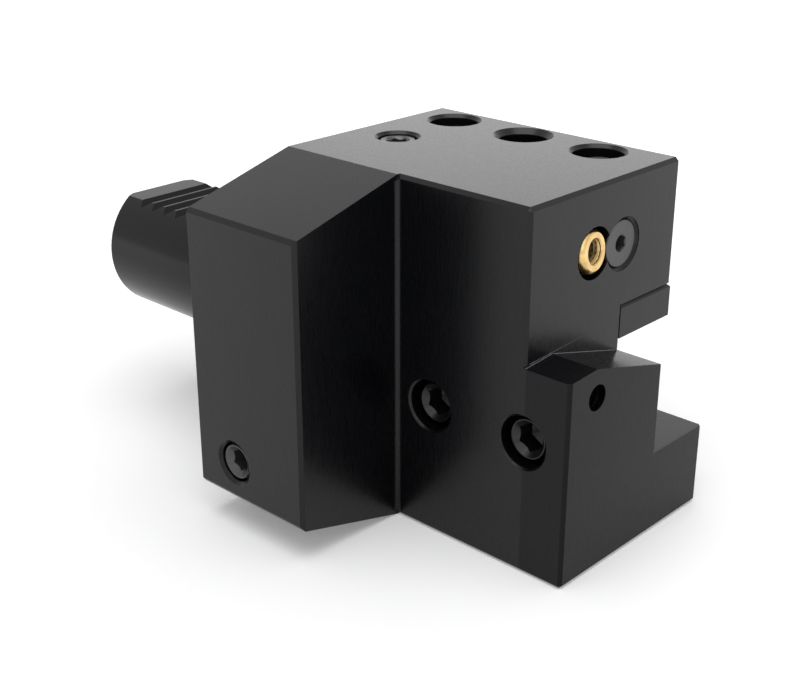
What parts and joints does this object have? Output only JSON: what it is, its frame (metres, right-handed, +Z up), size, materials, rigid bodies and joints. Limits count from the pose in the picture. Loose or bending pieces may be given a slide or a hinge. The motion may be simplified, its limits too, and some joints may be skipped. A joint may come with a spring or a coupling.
{
  "type": "axial tool holder",
  "caption": "Block-shaped axial tool holder with a serrated cylindrical shank, a square-shank tool slot clamped by a sprung bar, and a swivelling coolant nozzle.",
  "frame": {"origin": "where the shank axis meets the flat seat face", "axes": "+X along the shank axis towards the tool end, +Y towards the open side of the tool slot, +Z up, away from the slot floor"},
  "size_m": [0.1243, 0.071, 0.07],
  "materials": {
    "black_body": "black oxide, satin, fine milling marks",
    "black_bar": "black oxide, ground",
    "black_screws": "black oxide, semi-gloss",
    "grey_plug": "phosphated grey steel",
    "spring_steel": "drawn wire",
    "ball_brass": "turned, bright",
    "seal_rubber": "matt"
  },
  "bodies": {
    "holder": {"holder_body": "black_body", "bar_lift_spring": "spring_steel", "top_plug_screw": "grey_plug", "flange_plug_screw": "black_screws", "shank_seal_ring": "seal_rubber", "inlet_seal_ring": "seal_rubber"},
    "bar": {"clamping_bar": "black_bar", "bar_retaining_screw": "black_screws"},
    "clamp_rear": {"clamp_screw_rear": "black_screws"},
    "clamp_front": {"clamp_screw_front": "black_screws"},
    "side_rear": {"side_screw_rear": "black_screws"},
    "side_front": {"side_screw_front": "black_screws"},
    "nozzle_seat": {"nozzle_seat_ring": "seal_rubber"},
    "nozzle": {"nozzle_ball": "ball_brass"},
    "keeper": {"nozzle_keeper_screw": "black_screws"}
  },
  "joints": [
    {"name": "bar_press", "type": "slide", "parent": "holder", "child": "bar", "axis": [0, 0, -1], "range_m": [0, 0.003], "stiffness_N_per_m": 2500, "springref_m": -0.002, "deforming": ["bar_lift_spring"]},
    {"name": "clamp_rear_feed", "type": "slide", "parent": "holder", "child": "clamp_rear", "axis": [0, 0, -1], "range_m": [0, 0.003]},
    {"name": "clamp_front_feed", "type": "slide", "parent": "holder", "child": "clamp_front", "axis": [0, 0, -1], "range_m": [0, 0.003]},
    {"name": "side_rear_feed", "type": "slide", "parent": "holder", "child": "side_rear", "axis": [0, 1, 0], "range_m": [-0.0015, 0.0045]},
    {"name": "side_front_feed", "type": "slide", "parent": "holder", "child": "side_front", "axis": [0, 1, 0], "range_m": [-0.0015, 0.0045]},
    {"name": "nozzle_roll", "type": "hinge", "parent": "holder", "child": "nozzle_seat", "pos_m": [0.05709, 0.01, 0.0204], "axis": [1, 0, 0], "range_deg": [-180, 180]},
    {"name": "nozzle_tilt", "type": "hinge", "parent": "nozzle_seat", "child": "nozzle", "pos_m": [0.05709, 0.01, 0.0204], "axis": [0, -0.7071, 0.7071], "range_deg": [-23, 7]},
    {"name": "keeper_turn", "type": "hinge", "parent": "holder", "child": "keeper", "pos_m": [0.059, 0.0189, 0.02], "axis": [1, 0, 0], "range_deg": [0, 360]}
  ],
  "couplings": [
    {"joint": "clamp_rear_feed", "follows": "bar_press", "ratio": 1},
    {"joint": "clamp_front_feed", "follows": "bar_press", "ratio": 1}
  ]
}
